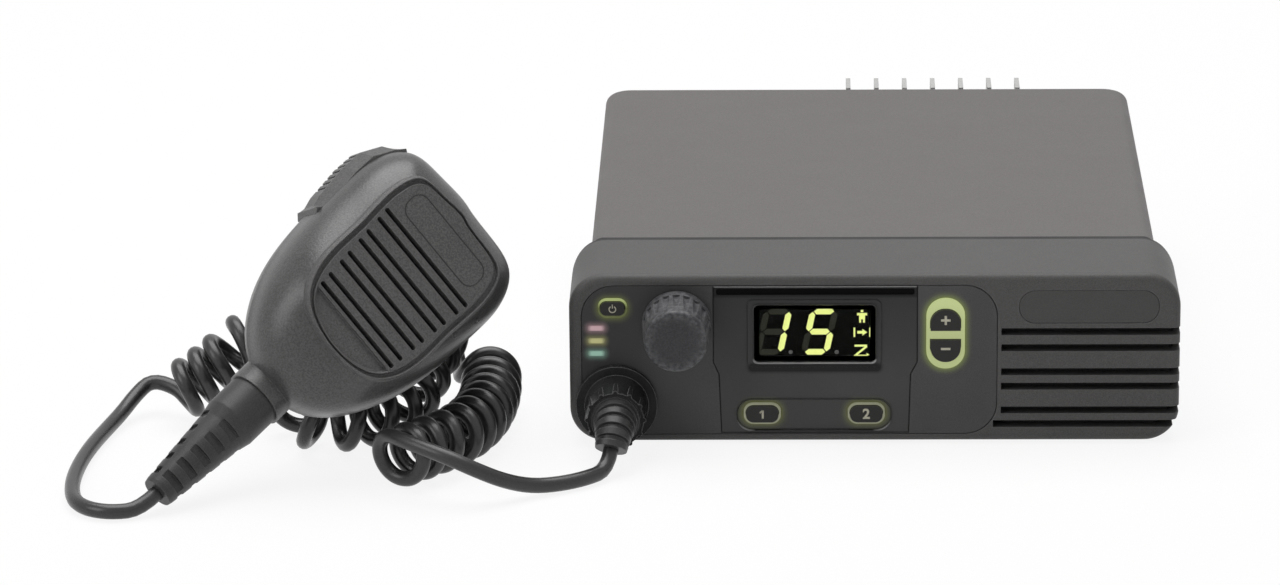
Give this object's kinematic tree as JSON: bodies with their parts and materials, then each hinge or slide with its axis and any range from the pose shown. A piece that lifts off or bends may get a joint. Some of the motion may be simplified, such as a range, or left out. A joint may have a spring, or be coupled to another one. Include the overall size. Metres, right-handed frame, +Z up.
{
  "type": "mobile two-way radio",
  "caption": "Dash-mount two-way radio: finned metal body, angled control head with display, keys and knob, and a fist microphone on a curly cord.",
  "frame": {"origin": "centre of the flat underside of the radio body", "axes": "+X to the right as seen from the front, +Y from the control head to the rear, +Z up"},
  "size_m": [0.3166, 0.2717, 0.086],
  "materials": {
    "cast_body": "painted die casting, satin",
    "cover": "satin",
    "housing": "fine texture",
    "gloss_panel": "gloss",
    "window": "clear smoked",
    "display": "gloss",
    "lamps": "clear",
    "nickel": "bright plated",
    "brass": "bright",
    "insulator": "smooth",
    "connector": "moulded",
    "board": "coated",
    "tin": "tinned",
    "screws": "blackened",
    "seal": "moulded",
    "silicone": "moulded",
    "keys": "smooth",
    "glow": "clear",
    "knob": "satin",
    "cloth": "woven",
    "cone": "pressed",
    "steel": "plain",
    "rubber": "moulded",
    "mic_case": "satin",
    "mic_panel": "satin",
    "cord": "satin sheath"
  },
  "bodies": {
    "radio": {"accessory_pins": "brass", "accessory_socket": "connector", "antenna_contact": "brass", "antenna_insulator": "insulator", "antenna_socket": "nickel", "board_screws": "screws", "cartridge_holder": "silicone", "centre_panel": "gloss_panel", "channel_light_ring": "glow", "chassis": "cast_body", "control_board": "board", "cord_curls": "cord", "cover_screws": "screws", "display_module": "display", "display_window": "window", "fascia_panel": "housing", "front_seal": "seal", "hang_button": "nickel", "head_back": "housing", "head_housing": "housing", "head_screws": "screws", "keypad_mat": "silicone", "left_light_ring": "glow", "main_board": "board", "mic_back_shell": "mic_case", "mic_board": "board", "mic_boot": "rubber", "mic_cartridge": "steel", "mic_cloth": "cloth", "mic_front_shell": "mic_case", "mic_grille": "mic_panel", "mic_lead": "cord", "mic_screws": "screws", "mic_socket": "connector", "name_plate": "gloss_panel", "plug_body": "connector", "plug_boot": "rubber", "plug_lead": "cord", "power_light_ring": "glow", "power_pins": "brass", "power_socket": "connector", "rf_shield": "tin", "right_light_ring": "glow", "speaker_cloth": "cloth", "speaker_cone": "cone", "speaker_frame": "steel", "speaker_magnet": "steel", "status_lights": "lamps", "talk_switch": "connector", "top_cover": "cover", "volume_encoder": "tin"},
    "knob": {"volume_knob": "knob", "encoder_shaft": "nickel"},
    "power_button": {"power_key": "keys"},
    "left_button": {"left_key": "keys"},
    "right_button": {"right_key": "keys"},
    "up_button": {"channel_up_key": "keys"},
    "down_button": {"channel_down_key": "keys"},
    "collar": {"plug_collar": "knob"},
    "talk_button": {"talk_key": "mic_panel"}
  },
  "joints": [
    {"name": "volume_turn", "type": "hinge", "parent": "radio", "child": "knob", "pos_m": [-0.0566, -0.11, 0.0363], "axis": [0, 1, 0], "continuous": true},
    {"name": "power_press", "type": "slide", "parent": "radio", "child": "power_button", "axis": [0, 1, 0], "range_m": [0, 0.0008], "stiffness_N_per_m": 2200, "springref_m": -0.0006},
    {"name": "left_press", "type": "slide", "parent": "radio", "child": "left_button", "axis": [0, 1, 0], "range_m": [0, 0.0008], "stiffness_N_per_m": 2200, "springref_m": -0.0006},
    {"name": "right_press", "type": "slide", "parent": "radio", "child": "right_button", "axis": [0, 1, 0], "range_m": [0, 0.0008], "stiffness_N_per_m": 2200, "springref_m": -0.0006},
    {"name": "channel_up_press", "type": "slide", "parent": "radio", "child": "up_button", "axis": [0, 1, 0], "range_m": [0, 0.0008], "stiffness_N_per_m": 2200, "springref_m": -0.0006},
    {"name": "channel_down_press", "type": "slide", "parent": "radio", "child": "down_button", "axis": [0, 1, 0], "range_m": [0, 0.0008], "stiffness_N_per_m": 2200, "springref_m": -0.0006},
    {"name": "plug_collar_turn", "type": "hinge", "parent": "radio", "child": "collar", "pos_m": [-0.074, -0.11, 0.0122], "axis": [0, 1, 0], "range_deg": [0, 45]},
    {"name": "talk_press", "type": "slide", "parent": "radio", "child": "talk_button", "axis": [0.6119, -0.0261, -0.7905], "range_m": [0, 0.0015], "stiffness_N_per_m": 1500, "springref_m": -0.001}
  ]
}
